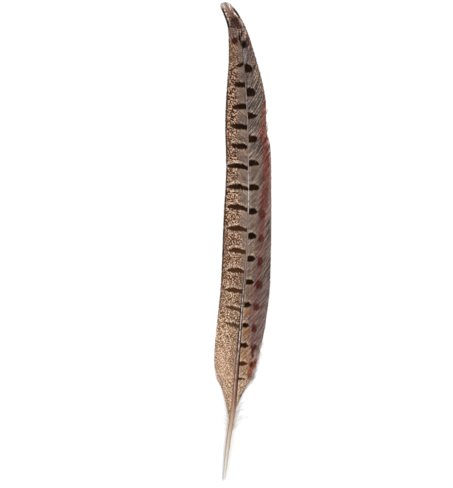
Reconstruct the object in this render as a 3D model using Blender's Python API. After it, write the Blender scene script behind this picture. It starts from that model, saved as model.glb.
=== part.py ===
"""A pheasant's tail feather, lying on the rims of its vanes with its upper side up.

The feather grew as one piece: a shaft that ends in a bare quill, a vane of slanting barbs on each side of
the shaft, and loose downy locks at the foot of the vanes. So it is one solid, named feather.

Along is the distance in Y from the quill's cut end towards the tip. Across is the distance in X from that
end, with the right-hand vane at +X. Both are in millimetres, and so are the heights above the surface that
the feather lies on. A profile gives a size at a few places along the feather, and a smooth curve joins them.
"""

from math import radians

import bmesh
import bpy
import numpy as np

MM = 0.001

# Shaft: its centre line from above, how far it is lifted off the surface, and half its width and depth
SHAFT_ACROSS = (
    (0, 0), (20, 2.3), (42, 5.9), (62, 7.3), (94, 9.7), (126, 12.2), (152, 12.9), (186, 12.4),
    (210, 11.1), (228, 9.4), (240, 6.6), (249.9, 0.9),
)
SHAFT_LIFT = ((0, 0.01), (20, 0.08), (45, 0.45), (90, 1.6), (140, 2.3), (190, 2.1), (230, 0.95), (249.9, 0.15))
SHAFT_HALF_WIDTH = (
    (0, 0.6), (10, 0.97), (21, 1.2), (52, 1.2), (73, 0.87), (94, 0.62), (126, 0.42), (150, 0.3), (249.9, 0.2),
)
SHAFT_HALF_DEPTH = ((0, 0.6), (12, 1.1), (25, 1.25), (55, 1.25), (94, 1.0), (140, 0.8), (200, 0.55), (249.9, 0.35))
SHAFT_STEP = 4.0
SHAFT_SIDES = 10

# Vanes: the rims from above, and how much further along each barb's end lies than its root
LEFT_RIM = (
    (31, 2.4), (36, 2.0), (42, 0.2), (52, -4.0), (62, -5.1), (78, -3.9), (104, -1.4), (136, -0.1),
    (165, 1.3), (186, 0.8), (208, 1.8), (222, 2.7), (232, 2.8), (242, 1.4), (250, -1.0),
)
RIGHT_RIM = (
    (31, 5.4), (36, 7.8), (42, 10.2), (52, 15.2), (63, 17.9), (84, 22.1), (105, 24.2), (136, 24.7),
    (168, 24.6), (179, 24.3), (184, 23.4), (191, 22.8), (205, 20.9), (220, 17.2), (236, 11.8), (242, 8.8),
    (248, 4.4), (250.2, 1.2),
)
BARB_REACH = ((31, 4), (36, 9), (42, 13), (50, 16), (90, 17), (150, 15), (200, 14), (225, 12), (240, 7.5), (249, 1.0))
VANE_FOOT = 31.0
FOOT_END = 61.0
VANE_TOP = 249.0
FOOT_ROW_STEP = 1.5
ROW_STEP = 2.6
BARB_POINTS = 7

# A barb leaves the shaft at a wide angle and bends towards the tip: its bend is these shares of the way
BEND_ACROSS = 0.55
BEND_ALONG = 0.40

# The vane drops from the shaft to the surface, lies flat on it from this share of the barb to the rim, and
# thins towards the rim
FLAT_FROM = 4 / 6
ROOT_BELOW_CENTRE = 0.35
ROOT_SINK = 0.3
ROOT_THICKNESS = 0.62
RIM_THICKNESS = 0.45
RIDGE = 0.14

# Ragged rim: how far neighbouring rows of barbs stick out and fall short
RIM_RAGGED = ((31, 0.9), (50, 0.7), (62, 0.25), (250, 0.15))
RIM_NOISE = 0.2
SEED = 11

# Loose downy locks at the foot of the vanes: where each tip lies, across and along
LOCK_TIPS = ((14.7, 44.0), (10.6, 38.4), (0.0, 38.8), (0.9, 35.2))
LOCK_RISE = 9.0
LOCK_ROOT_HALF_WIDTH = 0.5
LOCK_TIP_HALF_WIDTH = 0.15
LOCK_UNDERSIDE = 0.06
LOCK_THICKNESS = 0.4

SHARP_ANGLE = radians(40)
FEATHER_COLOUR = (0.19, 0.11, 0.07, 1)
FEATHER_ROUGHNESS = 0.6


def smooth(profile, places):
    """The profile's size at these places: a cubic through its points that never overshoots them."""
    along, size = np.array(profile, float).T
    places = np.clip(places, along[0], along[-1])
    slopes = np.diff(size) / np.diff(along)
    before, after = slopes[:-1], slopes[1:]
    turning = before * after <= 0
    middle = np.where(turning, 0, 2 * before * after / np.where(turning, 1, before + after))
    tangents = np.concatenate([slopes[:1], middle, slopes[-1:]])
    left = np.clip(np.searchsorted(along, places) - 1, 0, len(slopes) - 1)
    span = along[left + 1] - along[left]
    t = (places - along[left]) / span
    start = size[left] + t**2 * (3 - 2 * t) * (size[left + 1] - size[left])
    bend = t * (1 - t) * ((1 - t) * tangents[left] - t * tangents[left + 1])
    return start + span * bend


def evenly(first, last, step):
    """Places from first to last, about a step apart."""
    return np.linspace(first, last, round((last - first) / step) + 1)


def shaft_height(along):
    """Height of the shaft's centre line."""
    return smooth(SHAFT_LIFT, along) + smooth(SHAFT_HALF_DEPTH, along)


def shaft_rings():
    """Rings around the shaft from the quill's end to the tip, each square to the shaft's centre line."""
    tip = SHAFT_ACROSS[-1][0]
    along = np.concatenate([evenly(0, 12, 3), evenly(16, 236, SHAFT_STEP), evenly(239, tip, 2.7)])
    centre = np.stack([smooth(SHAFT_ACROSS, along), along, shaft_height(along)], axis=1)
    ahead = np.gradient(centre, along, axis=0)
    ahead /= np.linalg.norm(ahead, axis=1, keepdims=True)
    sideways = np.cross(ahead, (0, 0, 1))
    sideways /= np.linalg.norm(sideways, axis=1, keepdims=True)
    upwards = np.cross(sideways, ahead)
    turn = (np.arange(SHAFT_SIDES) + 0.5) * 2 * np.pi / SHAFT_SIDES
    width = smooth(SHAFT_HALF_WIDTH, along)[:, None] * np.cos(turn)
    depth = smooth(SHAFT_HALF_DEPTH, along)[:, None] * np.sin(turn)
    return centre[:, None] + width[..., None] * sideways[:, None] + depth[..., None] * upwards[:, None]


def vane_rings(side, rim):
    """Rings around each row of barbs of one vane: out along the upper side, and back along the underside."""
    root = np.concatenate([evenly(VANE_FOOT, FOOT_END, FOOT_ROW_STEP), evenly(FOOT_END, VANE_TOP, ROW_STEP)[1:]])
    end = root + smooth(BARB_REACH, root)
    root_across = smooth(SHAFT_ACROSS, root) - side * ROOT_SINK * smooth(SHAFT_HALF_WIDTH, root)
    reach_across = smooth(rim, end) - root_across
    reach_along = end - root

    row = np.arange(len(root))
    ragged = smooth(RIM_RAGGED, end) * np.where(row % 2, 1, -1)
    ragged += np.random.default_rng(SEED).uniform(-RIM_NOISE, RIM_NOISE, len(root))
    stretch = 1 + ragged / np.hypot(reach_across, reach_along)
    share = np.linspace(0, 1, BARB_POINTS)
    way = share * stretch[:, None]
    to_bend = 2 * way * (1 - way)
    across = root_across[:, None] + reach_across[:, None] * (BEND_ACROSS * to_bend + way**2)
    along = root[:, None] + reach_along[:, None] * (BEND_ALONG * to_bend + way**2)

    root_height = shaft_height(root) - ROOT_BELOW_CENTRE * smooth(SHAFT_HALF_DEPTH, root)
    under = root_height[:, None] * np.clip(1 - share / FLAT_FROM, 0, 1)
    ridge = RIDGE * (row % 2)[:, None] * np.sin(np.pi * share)
    upper = under + ROOT_THICKNESS + (RIM_THICKNESS - ROOT_THICKNESS) * share + ridge
    out = np.stack([across, along, upper], axis=2)
    back = np.stack([across, along, under], axis=2)[:, ::-1]
    return np.concatenate([out, back], axis=1)


def lock_rings(tip):
    """Rings around one loose lock, which leaves the shaft near the foot of the vanes and tapers to its tip."""
    tip_across, tip_along = tip
    root_along = max(VANE_FOOT - 1, tip_along - LOCK_RISE)
    root_across = smooth(SHAFT_ACROSS, root_along)
    root_height = shaft_height(root_along)
    share = np.linspace(0, 1, 4)[:, None]
    across = root_across + (tip_across - root_across) * share
    along = root_along + (tip_along - root_along) * share**1.2
    under = LOCK_UNDERSIDE + (root_height - LOCK_UNDERSIDE) * (1 - share) ** 2
    half_width = LOCK_ROOT_HALF_WIDTH + (LOCK_TIP_HALF_WIDTH - LOCK_ROOT_HALF_WIDTH) * share
    corners_along = half_width * np.array([-1, 1, 1, -1])
    corners_up = LOCK_THICKNESS * np.array([1, 1, 0, 0])
    rings = np.stack(np.broadcast_arrays(across, along + corners_along, under + corners_up), axis=2)
    return rings


def solid(name, rings, origin):
    """A closed mesh through the rings. Strips across the first and the last ring close its ends."""
    shell = bmesh.new()
    loops = [[shell.verts.new((point - origin) * MM) for point in ring] for ring in rings]
    for here, there in zip(loops, loops[1:]):
        for k in range(len(here)):
            shell.faces.new((here[k - 1], here[k], there[k], there[k - 1]))
    for loop in (loops[0], loops[-1]):
        for k in range(len(loop) // 2 - 1):
            shell.faces.new((loop[k], loop[k + 1], loop[-2 - k], loop[-1 - k]))
    bmesh.ops.recalc_face_normals(shell, faces=shell.faces)
    mesh = bpy.data.meshes.new(name)
    shell.to_mesh(mesh)
    shell.free()
    mesh.shade_smooth()
    mesh.set_sharp_from_angle(angle=SHARP_ANGLE)
    return bpy.data.objects.new(name, mesh)


def feather_material():
    """Brown horn with a soft sheen."""
    material = bpy.data.materials.new("feather")
    material.use_nodes = True
    surface = material.node_tree.nodes["Principled BSDF"].inputs
    surface["Base Color"].default_value = FEATHER_COLOUR
    surface["Roughness"].default_value = FEATHER_ROUGHNESS
    surface["Metallic"].default_value = 0
    return material


def feather():
    """The shaft, with the vanes and the locks fused to it."""
    grown = {
        "left_vane": vane_rings(-1, LEFT_RIM),
        "right_vane": vane_rings(1, RIGHT_RIM),
        **{f"lock_{number}": lock_rings(tip) for number, tip in enumerate(LOCK_TIPS, 1)},
    }
    shaft = shaft_rings()
    points = np.concatenate([rings.reshape(-1, 3) for rings in (shaft, *grown.values())])
    low, high = points.min(axis=0), points.max(axis=0)
    origin = np.array([(low[0] + high[0]) / 2, (low[1] + high[1]) / 2, 0])

    scene = bpy.context.scene.collection
    body = solid("feather", shaft, origin)
    scene.objects.link(body)
    body.data.materials.append(feather_material())
    for name, rings in grown.items():
        helper = solid(name, rings, origin)
        helper.hide_render = True
        helper.display_type = "WIRE"
        scene.objects.link(helper)
        union = body.modifiers.new(name, "BOOLEAN")
        union.operation = "UNION"
        union.object = helper


def clear_scene():
    for old in list(bpy.data.objects):
        bpy.data.objects.remove(old, do_unlink=True)


clear_scene()
feather()
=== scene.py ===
"""A pheasant's tail feather on a pale table, modelled barb by barb around its solid.

Sizes are in millimetres until a mesh is made. Along is the distance from the quill's end towards the tip,
across is sideways from that end with the right-hand vane on the plus side, and height is above the table.
A profile gives a size at a few places along the feather, and a smooth curve joins them.
"""

from math import radians

import bpy
import numpy as np
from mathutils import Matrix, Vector


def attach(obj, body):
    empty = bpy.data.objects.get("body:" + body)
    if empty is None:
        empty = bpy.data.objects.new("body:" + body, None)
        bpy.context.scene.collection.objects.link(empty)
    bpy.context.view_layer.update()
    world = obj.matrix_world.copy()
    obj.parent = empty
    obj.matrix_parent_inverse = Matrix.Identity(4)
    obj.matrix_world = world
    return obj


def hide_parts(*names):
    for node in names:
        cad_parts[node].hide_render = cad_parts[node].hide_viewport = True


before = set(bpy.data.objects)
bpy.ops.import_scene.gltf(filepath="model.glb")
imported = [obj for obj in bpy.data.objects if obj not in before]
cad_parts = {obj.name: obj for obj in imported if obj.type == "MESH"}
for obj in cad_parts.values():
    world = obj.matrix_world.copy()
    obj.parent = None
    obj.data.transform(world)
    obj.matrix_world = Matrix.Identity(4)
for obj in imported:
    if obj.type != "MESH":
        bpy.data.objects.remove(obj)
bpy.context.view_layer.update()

MM = 0.001
RIGHT = 1
LEFT = -1

# The feather's form, as the solid has it, with finer rims at the tip and low on the left-hand side, and a
# shallow step high in the right-hand rim
FEATHER_LENGTH = 250
SHAFT_ACROSS = (
    (0, 0), (20, 2.3), (42, 5.5), (52, 6.3), (62, 7.2), (94, 9.7), (126, 12.2), (152, 12.9), (186, 12.4),
    (210, 11.1), (228, 9.4), (240, 6.6), (249.9, 0.9),
)
SHAFT_LIFT = (
    (0, 0.01), (20, 0.08), (45, 0.45), (90, 1.6), (140, 2.3), (190, 2.1), (230, 0.95), (249.9, 0.15),
)
SHAFT_HALF_WIDTH = (
    (0, 0.6), (10, 0.97), (21, 1.2), (52, 1.2), (73, 0.87), (94, 0.62), (126, 0.42), (150, 0.3), (249.9, 0.2),
)
SHAFT_HALF_DEPTH = (
    (0, 0.6), (12, 1.1), (25, 1.25), (55, 1.25), (94, 1.0), (140, 0.8), (200, 0.55), (249.9, 0.35),
)
RIM = {
    LEFT: (
        (31, 2.4), (36, 2.0), (42, 0.2), (52, -3.3), (57, -4.6), (63, -5.0), (78, -3.9), (104, -1.4),
        (136, -0.1), (165, 1.3), (186, 0.8), (208, 1.8), (222, 2.7), (232, 2.6), (237, 2.2), (241, 1.2),
        (244.5, -0.1), (248, -1.5), (249.1, -1.8), (249.9, -1.0), (250.4, 0.5),
    ),
    RIGHT: (
        (31, 5.4), (36, 7.8), (42, 10.2), (52, 15.2), (63, 17.9), (84, 22.1), (105, 24.2), (136, 24.7),
        (168, 24.6), (176, 24.0), (180, 22.9), (184, 22.2), (188, 22.0), (197, 21.9), (205, 20.8),
        (220, 17.0), (236, 11.9), (242, 9.0), (246, 6.5), (248.2, 4.7), (249.5, 3.4), (250.1, 2.2),
        (250.4, 0.6),
    ),
}
BARB_REACH = (
    (28, 24), (34, 20), (42, 18), (50, 17), (90, 17), (150, 15), (200, 14), (225, 12), (236, 9.5), (242, 7),
    (246.4, 3.7), (248.3, 2.0), (249.2, 1.2),
)
VANE_FOOT = 28.5
VANE_TOP = 249.2
FLAT_FROM = 4 / 6

# A barb's bend across and along, as shares of the way, in the vane and among the lowest barbs
BEND = (0.55, 0.40)
FOOT_BEND = (0.25, 0.62)
BENT_FOOT = (44, 29)

# Barbs: their spacing along the shaft, the stations along each, and the form of one barb
BARB_STEP = 0.48
STATIONS = 26
CROWDED_ENDS = 1.2
ROOT_IN_SHAFT = 0.45
RIM_HEIGHT = 0.2
LANDING = 0.1
RIDGE_ABOVE = (0.075, 0.035)
KEEL_BELOW = (0.13, 0.045)
SHINGLE = 0.018
OVERLAP = 1.12
END_TAPER = 0.03
END_WIDTH = 0.12
PAST_RIM = 0.4
UNEVEN_ENDS = 0.12
TIP_FRINGE = 0.2
TIP_FRINGE_FROM = (236, 246)
ROOT_BELOW_CENTRE = 0.35
ROOT_LIFT = 0.15
SWELL_LENGTH = (26, 1.3)
SWELL_HEIGHT = 0.12
SWELL_SEED = 31

# Partings, where the hooks have let go: the root of the barb there, and how wide the rim gapes
PARTINGS = {
    LEFT: ((66, 0.2), (117, 0.2), (178, 0.15)),
    RIGHT: ((31.2, 1.2), (82, 0.15), (171.5, 0.15)),
}
PARTING_LENGTH = 4.5
# The lowest barbs are loose and curl, and the right-hand ones fray a little further up
LOOSE_FOOT = (50, 30)
LOOSENESS = {LEFT: 0.45, RIGHT: 1.0}
FRAYED = {LEFT: 0.0, RIGHT: 0.35}
FRAYED_BELOW = (152, 128)
FOOT_WIDTH = {LEFT: 1.5, RIGHT: 0.8}
FOOT_WIDTH_FROM = (42, 30)
FOOT_CURL = 1.1
FOOT_SPREAD = 0.5
FOOT_LIFT = 0.5
FOOT_WAVE = 0.22
FRAY_STRAY = 0.2
FRAY_LIFT = 0.12
FRAY_WAVE = 0.1
WAVES_PER_BARB = 1.6
# Barbs that stick out of the rim: the root of each, and how far it sticks out
STRAYS = {LEFT: (), RIGHT: ((177.4, 3.0), (171.8, 1.6), (170.2, 2.6), (168.8, 2.2), (167.6, 1.6))}

# Cross bars: where each meets the shaft, as distances along, and their lengths and half thicknesses
BARS = {
    LEFT: (80.1, 88.8, 98.5, 109.0, 119.2, 130.6, 141.6, 152.2, 163.4, 174.4, 184.6, 195.8, 207.2, 218.7),
    RIGHT: (
        52.8, 60.8, 70.4, 80.9, 91.6, 103.6, 115.9, 127.8, 140.7, 153.3, 166.0, 178.9, 190.9, 203.2, 216.0,
    ),
}
BAR_LENGTH = {
    LEFT: (
        (72, 6.5), (80, 8.2), (89, 8.8), (98, 9.8), (109, 10.2), (120, 10.3), (131, 11.5), (143, 11.8),
        (164, 12.0), (175, 8.6), (186, 8.4), (196, 7.6), (207, 6.4), (219, 3.9),
    ),
    RIGHT: (
        (53, 4.9), (61, 5.3), (70, 5.1), (81, 4.6), (92, 4.8), (104, 5.1), (116, 4.9), (141, 4.9), (153, 5.7),
        (166, 6.1), (179, 5.2), (191, 5.6), (203, 5.1), (216, 4.3),
    ),
}
BAR_HALF = {
    LEFT: (
        (78, 0.75), (88, 1.0), (98, 1.15), (110, 1.3), (130, 1.25), (150, 1.4), (175, 1.35), (207, 1.45),
        (219, 1.0),
    ),
    RIGHT: (
        (52, 0.5), (61, 1.1), (70, 1.2), (81, 1.25), (92, 1.35), (116, 1.55), (141, 1.65), (190, 1.95),
        (204, 2.4), (216, 2.4),
    ),
}
# The form of a bar from the shaft to its outer end: how thick it is, and how far its middle line rises or
# falls, as a share of the tilt there. Some bars are blunt at the shaft
BAR_FORM = {
    LEFT: ((0, 0.55), (0.25, 0.85), (0.52, 1.0), (0.78, 0.7), (1.0, 0.0)),
    RIGHT: ((0, 0.86), (0.25, 1.0), (0.65, 0.95), (0.88, 0.62), (1.0, 0.0)),
}
BAR_RISE = {
    LEFT: ((0, 0), (0.25, 0.6), (0.5, 1.0), (1.0, 1.05)),
    RIGHT: ((0, 0), (0.5, 0.1), (1.0, -0.1)),
}
BAR_TILT = {
    LEFT: (
        (80, 1.9), (89, 1.6), (98, 1.0), (109, 0.9), (120, 1.2), (150, 1.7), (165, 1.4), (175, 1.0),
        (186, 1.0), (196, 0.0), (207, 0.2), (219, -1.3),
    ),
    RIGHT: ((50, 1), (220, 1)),
}
OUTER_SPACING = 12
PAST_OUTER_BARS = 5
BLUNT_FORM = 0.95
BLUNT_BARS_ABOVE = (168, 186)
BLUNT_BARS_BELOW = (112, 96)
# The lowest and the highest left-hand bars slope all the way. Some right-hand ones narrow to a point
STRAIGHT_BARS = ((70, 1), (90, 1), (106, 0), (166, 0), (174, 1), (190, 1), (202, 0))
STRAIGHT_RISE = {LEFT: 1.35, RIGHT: 0.0}
BAR_POINT = {
    LEFT: ((0, 0), (250, 0)),
    RIGHT: (
        (60, 0.4), (75, 0.1), (158, 0.1), (166, 0.5), (173, 0.0), (184, 0.1), (191, 0.8), (197, 0.0),
        (216, 0.0),
    ),
}

# Spots, as across, along, and their half sizes in those two directions
DARK_SPOTS = ((10.4, 228.6, 1.9, 2.2), (8.3, 231.8, 0.6, 2.4), (9.5, 234.2, 0.5, 1.5))
RED_SPOTS = (
    (5.7, 230.6, 1.8, 1.9), (12.3, 229.8, 1.5, 2.2), (20.1, 139.3, 2.0, 2.3), (19.4, 126.8, 1.5, 2.3),
    (18.9, 114.3, 1.6, 3.0), (18.1, 102.4, 2.0, 2.3), (16.9, 90.6, 1.7, 1.9), (15.8, 79.3, 1.4, 2.3),
    (15.5, 69.3, 1.8, 1.9), (15.0, 65.8, 0.8, 2.4), (14.3, 60.2, 0.9, 1.7),
)
SMUDGES = ((5.8, 240.9, 3.5, 2.7), (7.6, 238.8, 3.1, 2.3), (4.2, 239.4, 2.6, 2.0))
FAR_FROM_SPOTS = 9.0

# The wine-red band of the right-hand vane: how far inside the rim it starts and ends
WINE_FROM = (
    (136, 2.1), (147, 1.6), (152, 1.4), (158, 0.8), (163, 0.5), (173, 0.6), (178, 0.5), (181, -1.0),
    (210, -1.0),
)
WINE_TO = (
    (136, 5.4), (147, 5.3), (152, 4.7), (158, 4.3), (163, 4.4), (173, 4.3), (178, 4.3), (183, 4.3),
    (187, 3.0), (196, 2.0), (204, 0.3), (210, -1.0),
)
# The grey down of the right-hand vane: how far from the shaft it starts
DOWN_FROM = ((66, 7.2), (95, 7.4), (125, 9.0), (150, 9.4))
# The mottled part of the left-hand vane: how far from the shaft it starts
MOTTLED_FROM = ((60, -2), (85, -1), (110, 2.2), (150, 5.0), (175, 5.4), (205, 5.0), (225, 2.8), (250, 2))

# Down: how many hairs, the range of their radius, how high their ends lie, and how low any of them comes
FOOT_HAIRS = 90
RIM_HAIRS = 70
HAIR_STATIONS = 16
HAIR_SIDES = 3
HAIR_RADIUS = (0.045, 0.085)
HAIR_END_HEIGHT = (0.12, 0.7)
RIM_HAIR_HEIGHT = 0.42
LOWEST_HAIR = 0.03

# Shaft: its sides, its groove, and the hole in the quill's end as a share of the quill's thickness there
SHAFT_SIDES = 20
GROOVE_DEPTH = 0.35
GROOVE_FROM = (60, 90)
GROOVE_NARROWNESS = 12
HOLE_WIDTH = 0.45
HOLE_DEPTH = 1.5

TABLE_HALF = 8000
TABLE_WHITE = (0.92, 0.92, 0.92, 1)
SEED = 5


def smooth(profile, places):
    """The profile's size at these places: a cubic through its points that never overshoots them."""
    along, size = np.array(profile, float).T
    places = np.clip(places, along[0], along[-1])
    slopes = np.diff(size) / np.diff(along)
    before, after = slopes[:-1], slopes[1:]
    turning = before * after <= 0
    middle = np.where(turning, 0, 2 * before * after / np.where(turning, 1, before + after))
    tangents = np.concatenate([slopes[:1], middle, slopes[-1:]])
    left = np.clip(np.searchsorted(along, places) - 1, 0, len(slopes) - 1)
    span = along[left + 1] - along[left]
    t = (places - along[left]) / span
    start = size[left] + t**2 * (3 - 2 * t) * (size[left + 1] - size[left])
    bend = t * (1 - t) * ((1 - t) * tangents[left] - t * tangents[left + 1])
    return start + span * bend


def ramp(value, low, high):
    """0 below low, 1 above high, and a smooth rise between. It falls instead where low is above high."""
    t = np.clip((value - low) / (high - low), 0, 1)
    return t * t * (3 - 2 * t)


def ripple(x, y, seed, waves=6):
    """A smooth random surface of about -1 to 1, for x and y counted in wavelengths."""
    rng = np.random.default_rng(seed)
    total = 0
    for _ in range(waves):
        turn = rng.uniform(0, 2 * np.pi)
        pace = rng.uniform(0.6, 1.5)
        start = rng.uniform(0, 2 * np.pi)
        total = total + np.sin(2 * np.pi * pace * (x * np.cos(turn) + y * np.sin(turn)) + start)
    return total / np.sqrt(waves)


def directions(ahead):
    """Unit vectors ahead and level sideways, from the way that a line goes on at each of its stations."""
    ahead = ahead / np.linalg.norm(ahead, axis=-1, keepdims=True)
    sideways = np.cross(ahead, (0, 0, 1))
    return ahead, sideways / np.linalg.norm(sideways, axis=-1, keepdims=True)


def quill_end():
    """Where the quill's end lies in the frame, in millimetres: the place that along and across count from."""
    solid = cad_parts["feather"]
    points = np.array([vertex.co for vertex in solid.data.vertices]) / MM
    at_end = points[points[:, 1] < points[:, 1].min() + 0.05]
    return np.array([at_end[:, 0].mean(), points[:, 1].min(), 0])


ORIGIN = quill_end()


def new_object(name, data):
    """Puts a new object into the scene."""
    made = bpy.data.objects.new(name, data)
    bpy.context.scene.collection.objects.link(made)
    return made


def new_mesh(name, points, faces, corners, body="root"):
    """A smooth-shaded piece on the feather's body. Its points are in millimetres from the quill's end.

    Corners say where each face corner lies on the piece's flat map, from 0 to 1 both ways.
    """
    mesh = bpy.data.meshes.new(name)
    mesh.from_pydata((points.reshape(-1, 3) + ORIGIN) * MM, [], [tuple(face) for face in faces])
    mesh.shade_smooth()
    mesh.set_sharp_from_angle(angle=radians(75))
    flat_map = mesh.uv_layers.new(name="OFBake")
    flat_map.data.foreach_set("uv", corners.astype(np.float32).ravel())
    piece = new_object(name, mesh)
    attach(piece, body)
    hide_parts("feather")
    return piece


def store(piece, name, shape, *values):
    """Keeps three numbers for each point of the piece, for its material. Shape is that of the points."""
    numbers = np.stack([np.broadcast_to(value, shape) for value in values], axis=-1)
    layer = piece.data.attributes.new(name, "FLOAT_VECTOR", "POINT")
    layer.data.foreach_set("vector", numbers.astype(np.float32).ravel())


def tube_faces(strands, stations, sides):
    """The walls of tubes that lie one after the other, as tubes x steps x sides x four corners."""
    first = np.arange(strands)[:, None, None] * stations * sides
    ring = np.arange(stations - 1)[None, :, None] * sides
    corner = np.arange(sides)[None, None, :]
    after = (corner + 1) % sides
    here = first + ring
    return np.stack([here + corner, here + corner + sides, here + after + sides, here + after], axis=-1)


def wall_steps(share):
    """Each wall face's four corners as shares of the way along a tube."""
    return np.stack([share[:-1], share[1:], share[1:], share[:-1]], axis=-1)


def end_faces(strands, stations, sides):
    """The two end faces of each such tube, for tubes of three or four sides."""
    corner = np.arange(sides)
    first = np.arange(strands)[:, None] * stations * sides
    return np.concatenate([first + corner, first + (stations - 1) * sides + corner[::-1]])


def shaft_height(along):
    """Height of the shaft's centre line."""
    return smooth(SHAFT_LIFT, along) + smooth(SHAFT_HALF_DEPTH, along)


def barb_lines(side, root):
    """The barbs' centre lines, as barbs x stations x place, and each station's share of the way."""
    count = len(root)
    share = 1 - (1 - np.linspace(0, 1, STATIONS)) ** CROWDED_ENDS
    start = smooth(SHAFT_ACROSS, root) + side * ROOT_IN_SHAFT * smooth(SHAFT_HALF_WIDTH, root)
    end = root + smooth(BARB_REACH, root)
    reach_across = (smooth(RIM[side], end) - start)[:, None]
    reach_along = (end - root)[:, None]
    rng = np.random.default_rng(SEED + side)
    fringe = TIP_FRINGE * ramp(root, *TIP_FRINGE_FROM) * rng.uniform(0.1, 1.2, count)
    extra = PAST_RIM + fringe + rng.normal(0, UNEVEN_ENDS, count)
    for place, length in STRAYS[side]:
        extra[np.argmin(np.abs(root - place))] += length
    stretch = 1 + extra[:, None] / np.hypot(reach_across, reach_along)
    way = share * stretch
    to_bend = 2 * way * (1 - way)
    low = ramp(root, *BENT_FOOT)[:, None]
    bend_across = BEND[0] + (FOOT_BEND[0] - BEND[0]) * low
    bend_along = BEND[1] + (FOOT_BEND[1] - BEND[1]) * low
    across = start[:, None] + reach_across * (bend_across * to_bend + way**2)
    along = root[:, None] + reach_along * (bend_along * to_bend + way**2)
    root_height = shaft_height(root) - ROOT_BELOW_CENTRE * smooth(SHAFT_HALF_DEPTH, root)
    fall = 1 - share / FLAT_FROM
    fall = 0.5 * (fall + np.sqrt(fall**2 + LANDING**2))
    height = RIM_HEIGHT + (root_height[:, None] + ROOT_LIFT) * fall
    swell = ripple(root[:, None] / SWELL_LENGTH[0], share / SWELL_LENGTH[1], SWELL_SEED + side)
    height = height + SWELL_HEIGHT * swell * share * (1 - share) * 4
    return np.stack([across, along, height], axis=-1), share


def loosened(side, root, share):
    """How far each station of each barb has moved from its place in a neat vane."""
    rng = np.random.default_rng(SEED * 7 + side)
    count = len(root)
    moved = np.zeros((count, len(share), 3))
    for place, width in PARTINGS[side]:
        away = root - place
        push = 0.5 * width * np.sign(away) * np.exp(-np.abs(away) / PARTING_LENGTH)
        moved[..., 1] += push[:, None] * ramp(share, 0.3, 1.0)
    foot = LOOSENESS[side] * ramp(root, *LOOSE_FOOT)[:, None]
    end = root + smooth(BARB_REACH, root)
    fringe = FRAYED[side] * ramp(end, *FRAYED_BELOW)[:, None] * ramp(share, 0.55, 1.0)
    curl = rng.normal(0, 1, (count, 1))
    turn = rng.uniform(0, 2 * np.pi, (count, 1))
    wave = np.sin(2 * np.pi * WAVES_PER_BARB * share + turn)
    moved[..., 1] += foot * share**2 * curl * FOOT_CURL + fringe * rng.normal(0, FRAY_STRAY, (count, 1))
    moved[..., 0] += side * foot * share**2 * rng.normal(0, FOOT_SPREAD, (count, 1))
    moved[..., 0] += (FOOT_WAVE * foot + FRAY_WAVE * fringe) * share * wave
    moved[..., 2] += np.abs(foot * share * (1 - share) * rng.normal(0, FOOT_LIFT, (count, 1)))
    moved[..., 2] += np.abs(fringe * rng.normal(0, FRAY_LIFT, (count, 1)))
    return moved


def vane(side, name):
    """One vane. Every barb is a thin keeled blade as wide as its share of the vane, and tapers at its end."""
    root = np.arange(VANE_FOOT, VANE_TOP, BARB_STEP)
    count = len(root)
    line, share = barb_lines(side, root)
    rng = np.random.default_rng(SEED * 3 + side)
    to_next = np.diff(line, axis=0)
    to_next = np.concatenate([to_next, to_next[-1:]])
    to_last = np.concatenate([to_next[:1], to_next[:-1]])
    line = line + loosened(side, root, share)

    taper = ramp(share[None, :], 1.02, 1 - END_TAPER * rng.uniform(0.7, 1.6, (count, 1)))
    at_foot = ramp(root, *FOOT_WIDTH_FROM)[:, None] * ramp(share, 0.15, 0.6)
    form = 1 + (FOOT_WIDTH[side] - 1) * at_foot
    width = (0.5 * OVERLAP * form * (END_WIDTH + (1 - END_WIDTH) * taper))[..., None]
    distal = line + to_next * width
    proximal = line - to_last * width
    distal[..., 2] += SHINGLE
    proximal[..., 2] -= SHINGLE
    above = line.copy()
    above[..., 2] += np.interp(share, (0, 1), RIDGE_ABOVE)
    below = line.copy()
    below[..., 2] -= np.interp(share, (0, 1), KEEL_BELOW)
    # A blade's four corners: its edge towards the quill, its ridge, its edge towards the tip, and its keel
    rings = np.stack([proximal, above, distal, below], axis=2)

    walls = tube_faces(count, STATIONS, 4).reshape(-1, 4)
    faces = np.concatenate([walls, end_faces(count, STATIONS, 4)[:, ::-1]])
    if side == LEFT:
        faces = faces[:, ::-1]
    piece = new_mesh(name, rings, faces, vane_map(side, count, share))

    shape = rings.shape[:3]
    across, along = rings[..., 0], rings[..., 1]
    off = side * (across - smooth(SHAFT_ACROSS, along))
    reach = np.cumsum(np.linalg.norm(np.diff(line, axis=1, prepend=line[:, :1]), axis=2), axis=1)
    chance = rng.uniform(0, 1, (count, 1, 1))
    underneath = (0, 0, 0, 1)
    to_end = (reach[:, -1:] - reach)[..., None]
    inside = side * (smooth(RIM[side], along) - across) + PAST_RIM
    bar_share = off / smooth(BAR_LENGTH[side], along)
    marks = [spot_distance(spots, across, along) for spots in (DARK_SPOTS, RED_SPOTS, SMUDGES)]
    store(piece, "on_vane", shape, off, along, underneath)
    store(piece, "on_barb", shape, root[:, None, None], reach[..., None], chance)
    store(piece, "bars", shape, *bar_numbers(side, off, along))
    store(piece, "zones", shape, *(left_zones if side == LEFT else right_zones)(off, along))
    store(piece, "rims", shape, to_end, inside, bar_share)
    store(piece, "marks", shape, *marks)
    piece.data.materials.append((left_vane_finish if side == LEFT else right_vane_finish)())


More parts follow.
